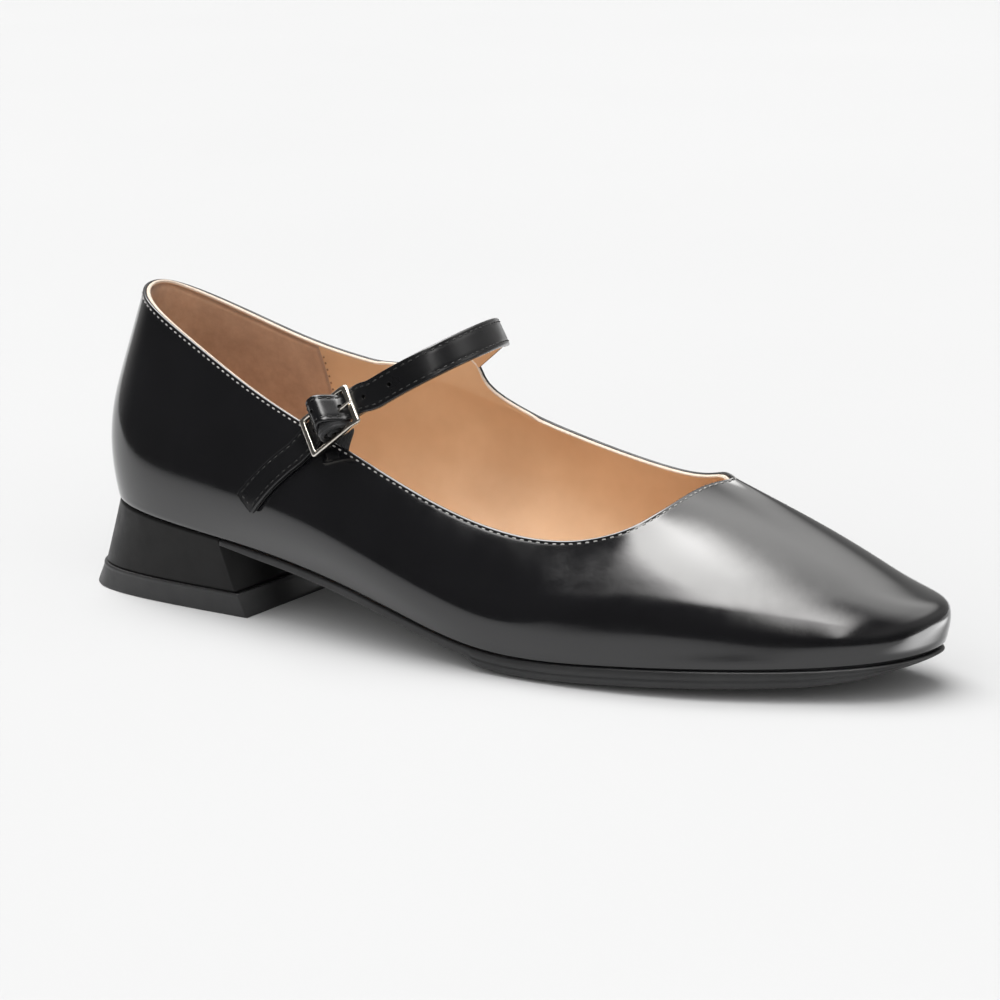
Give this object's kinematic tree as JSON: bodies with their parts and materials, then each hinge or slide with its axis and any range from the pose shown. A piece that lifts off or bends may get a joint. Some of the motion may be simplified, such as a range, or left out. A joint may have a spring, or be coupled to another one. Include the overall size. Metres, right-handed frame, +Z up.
{
  "type": "mary jane flat",
  "caption": "Right mary jane shoe in black leather with a squared toe, an instep strap with a buckle, and a low flared block heel.",
  "frame": {"origin": "on the floor, under the centre of the shoe's box", "axes": "+X points to the toe, +Y to the medial side of the foot, +Z up"},
  "size_m": [0.2566, 0.0798, 0.0839],
  "materials": {
    "upper_leather": "smooth polished black leather",
    "strap_leather": "smooth black leather strip with tan back",
    "sock_leather": "matt tan leather",
    "sole_rubber": "satin black moulded rubber",
    "heel_finish": "satin black lacquered heel",
    "lift_rubber": "satin black rubber",
    "buckle_metal": "bright polished metal",
    "elastic_webbing": "ribbed black elastic"
  },
  "bodies": {
    "root": {"upper": "upper_leather", "insole": "sock_leather", "outsole": "sole_rubber", "heel_block": "heel_finish", "top_lift": "lift_rubber", "strap": "strap_leather", "buckle_frame": "buckle_metal", "buckle_prong": "buckle_metal", "elastic_gore": "elastic_webbing"}
  },
  "joints": []
}
